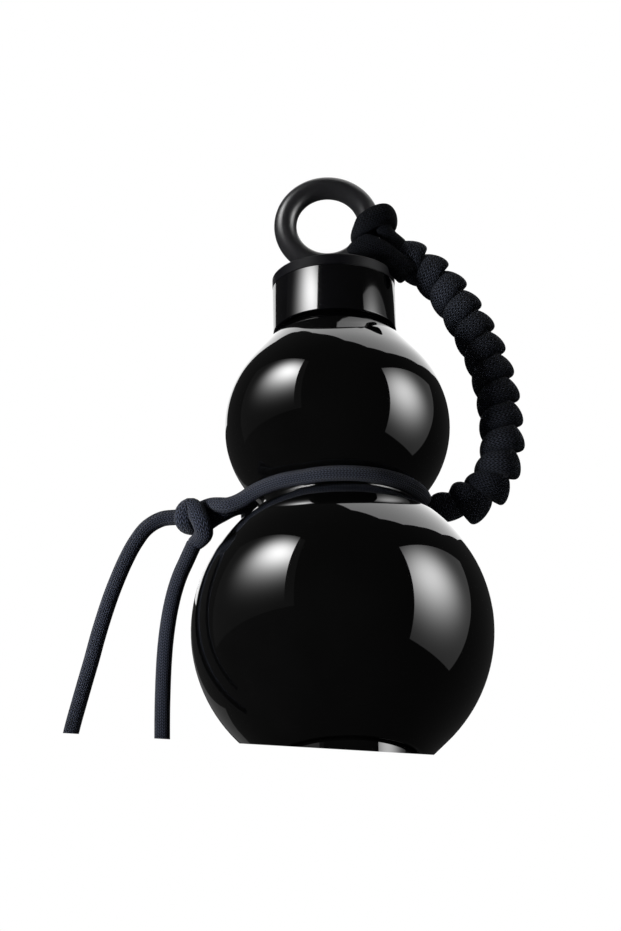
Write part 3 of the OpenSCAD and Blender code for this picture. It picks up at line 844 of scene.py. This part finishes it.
def softbox(name, azimuth, distance, outline, glow, hot=(0.0, 0.0)):
    """An upright panel facing the bottle. Azimuth is 0 towards the camera and grows towards the handle.

    outline is its corners, across and up; hot is the place of its origin, across and up.
    """
    bpy.ops.object.select_all(action="DESELECT")
    bpy.ops.mesh.primitive_circle_add(vertices=len(outline), radius=1, fill_type="NGON")
    panel = bpy.context.object
    for vertex, (s, z) in zip(panel.data.vertices, outline):
        vertex.co = Vector((s - hot[0], z - hot[1], 0)) * MM
    turn = math.radians(azimuth)
    away = Vector((math.sin(turn), -math.cos(turn), 0))
    right = Vector((math.cos(turn), math.sin(turn), 0))
    up_vector = Vector((0, 0, 1))
    origin = (away * distance + right * hot[0] + up_vector * hot[1]) * MM
    panel.matrix_world = Matrix.Translation(origin) @ Matrix((right, up_vector, away)).transposed().to_4x4()
    return hide_from_camera(stage_object(panel, name, glow))


def oblong(left, right, bottom, top):
    return [(left, bottom), (right, bottom), (right, top), (left, top)]


# Outline of the diffuser overhead, seen from above: it reaches well behind the bottle.
FAR_DIFFUSER = [
    (-280, 440), (-130, 150), (97, -130), (370, -190), (600, -60), (712, 168), (835, 600), (745, 1200),
    (560, 1640), (420, 2700), (-450, 2450), (-1150, 2150), (-560, 1300)]
FAR_HEIGHT = 1100.0
OVERHEAD_GLOW = 1.1


def overhead(name, outline, height, glow):
    bpy.ops.object.select_all(action="DESELECT")
    bpy.ops.mesh.primitive_circle_add(vertices=len(outline), radius=1, fill_type="NGON")
    panel = bpy.context.object
    for vertex, (x, y) in zip(panel.data.vertices, outline):
        vertex.co = Vector((x, y, height)) * MM
    panel.data.update()
    return hide_from_camera(stage_object(panel, name, glow))


# Soft lamp low at the left, aimed at the knot and the tails: it leaves no mark on the gloss.
FILL_PLACE = (-620.0, -420.0, -60.0)
FILL_AIM = (-60.0, 0.0, 70.0)
FILL_SIZE = 250.0
FILL_SPREAD = 90.0
FILL_POWER = 1.7


def make_fill():
    lamp_data = bpy.data.lights.new("fill", "AREA")
    lamp_data.shape = "DISK"
    lamp_data.size = FILL_SIZE * MM
    lamp_data.spread = math.radians(FILL_SPREAD)
    lamp_data.energy = FILL_POWER
    lamp = bpy.data.objects.new("fill", lamp_data)
    bpy.context.scene.collection.objects.link(lamp)
    turn = (Vector(FILL_AIM) - Vector(FILL_PLACE)).to_track_quat("-Z", "Y")
    lamp.matrix_world = Matrix.Translation(Vector(FILL_PLACE) * MM) @ turn.to_matrix().to_4x4()
    lamp.visible_glossy = False
    lamp.visible_camera = False


def make_room():
    """Dark walls that the gloss reflects between the lamps; the camera looks past them."""
    bpy.ops.object.select_all(action="DESELECT")
    bpy.ops.mesh.primitive_cube_add(size=6, location=(0, 0, 0.6))
    room = bpy.context.object
    dark, tree, glow = plain_emission("dark_walls", AMBIENT, sampled=False)
    return hide_from_camera(stage_object(room, "dark_room", dark))


def make_world():
    world = bpy.data.worlds.new("studio")
    bpy.context.scene.world = world
    world.use_nodes = True
    tree = world.node_tree
    background = tree.nodes["Background"]
    background.inputs["Color"].default_value = grey(1.0)
    background.inputs["Strength"].default_value = AMBIENT
    out = tree.nodes["World Output"]
    tree.links.new(white_for_camera(tree, background.outputs[0]), out.inputs["Surface"])


# The right softbox is cut back on its far side.
RIGHT_SOFTBOX = [(-255, -205), (400, -240), (525, 160), (780, 820), (-255, 840)]


def make_studio():
    left = softbox("left_softbox", -62, 1200, oblong(-1430, 437, 120, 1900),
                   softbox_glow("left_glow", 11.0, (341, 279), 0.04), hot=(169, 1187))
    left.visible_diffuse = False
    softbox("left_frame", -62, 1205, oblong(437, 620, 120, 1850), plain_emission("left_frame_glow", 0.05, sampled=False)[0])
    right = softbox("right_softbox", 72, 750, RIGHT_SOFTBOX,
                    softbox_glow("right_glow", 6.2, (191, 200), 0.22), hot=(-40, 400))
    right.visible_diffuse = False
    softbox("rear_card", -152, 800, [(-200, 430), (-60, 230), (200, -80), (-200, -80)],
            plain_emission("rear_glow", 0.1, sampled=False)[0])
    overhead_glow = plain_emission("overhead_glow", OVERHEAD_GLOW)[0]
    overhead("far_diffuser", FAR_DIFFUSER, FAR_HEIGHT, overhead_glow)
    make_fill()
    make_room()
    make_world()
    make_table()
    bpy.context.scene.view_settings.view_transform = "Standard"


def dress_frame_nodes(materials):
    """Materials of the frame's own nodes that stay in view."""
    for name, material in materials.items():
        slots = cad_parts[name].data.materials
        slots.clear()
        slots.append(material)


make_camera()
free_cloth = cord_cloth("cord_cloth", FREE_YARN, 0.1)
# The wound copy of the cord: its colour and sheen are matched to the light on the handle.
wound_cloth_toned_for_light = cord_cloth("wound_cord_toned_for_light", WOUND_YARN_TONED_FOR_LIGHT, 0.03)
# Painted shade: the hitch's copy of the cord is darker because less light reaches it.
hitch_cloth_painted_shade = cord_cloth("hitch_cord_painted_shade", HITCH_YARN_PAINTED_SHADE, 0.02)
make_tails(free_cloth)
make_loop_and_knot(free_cloth)
make_winding(wound_cloth_toned_for_light)
make_hitch(hitch_cloth_painted_shade)
paint = gloss_paint()
make_shell(paint)
make_sleeve(sleeve_lacquer())
make_ring(satin_coat())
matte = matte_coat()
plain_steel = drawn_steel("plain_steel", 0.5, 0.62, (0.25, 0.4))
dress_frame_nodes({
    "cap_plate": matte,
    "ring_seat": matte,
    "base_cover": paint,
    "cap_core": moulded_plastic(),
    "foot_pad": rubber("foot_rubber", 0.025, 0.04),
    "mouth_gasket": rubber("silicone", 0.6, 0.7),
    "stopper_foam": white_foam(),
    "inner_liner": plain_steel,
    "outer_bottom": plain_steel,
    "stopper_cover": plain_steel,
    "ring_screw": plain_steel,
    "getter": drawn_steel("getter_metal", 0.25, 0.35, (0.5, 0.7)),
})
make_studio()
